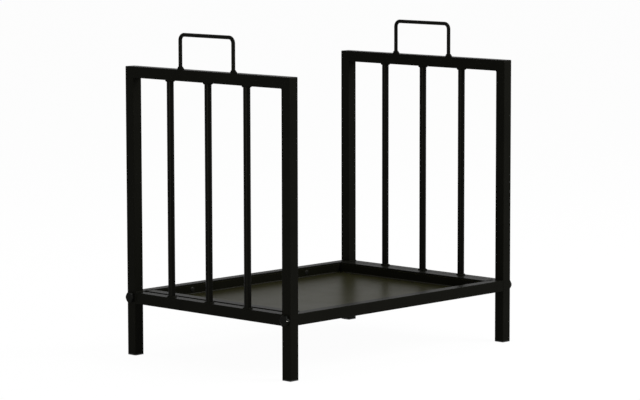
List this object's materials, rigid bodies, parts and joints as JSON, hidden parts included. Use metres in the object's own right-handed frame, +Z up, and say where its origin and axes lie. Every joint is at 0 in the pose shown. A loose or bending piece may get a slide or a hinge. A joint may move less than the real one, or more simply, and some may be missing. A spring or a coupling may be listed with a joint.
{
  "type": "firewood rack",
  "caption": "Firewood rack of black powder-coated steel: barred end frames with bent rod handles, joined by a bolted log tray with a sheet floor.",
  "frame": {"origin": "on the floor, at the centre of the rack's footprint", "axes": "+X along the rack from the left to the right end frame, +Y from the open front to the open back, +Z up"},
  "size_m": [0.5888, 0.407, 0.5813],
  "materials": {
    "coat": "semi-gloss black powder coat",
    "pan_coat": "semi-gloss black powder coat on sheet",
    "fasteners": "black oxide, slightly glossy",
    "nut_steel": "bare mild steel",
    "foot_plastic": "matt black polyethylene"
  },
  "bodies": {
    "root": {"left_front_leg": "coat", "left_back_leg": "coat", "right_front_leg": "coat", "right_back_leg": "coat", "left_top_rail": "coat", "right_top_rail": "coat", "left_lower_rail": "coat", "right_lower_rail": "coat", "left_front_bar": "coat", "left_middle_bar": "coat", "left_back_bar": "coat", "right_front_bar": "coat", "right_middle_bar": "coat", "right_back_bar": "coat", "left_handle": "coat", "right_handle": "coat", "tray_front_rail": "coat", "tray_back_rail": "coat", "tray_left_rail": "coat", "tray_right_rail": "coat", "tray_floor": "pan_coat", "tray_bolts": "fasteners", "floor_rivets": "fasteners", "rail_nuts": "nut_steel", "left_front_foot": "foot_plastic", "left_back_foot": "foot_plastic", "right_front_foot": "foot_plastic", "right_back_foot": "foot_plastic"}
  },
  "joints": []
}
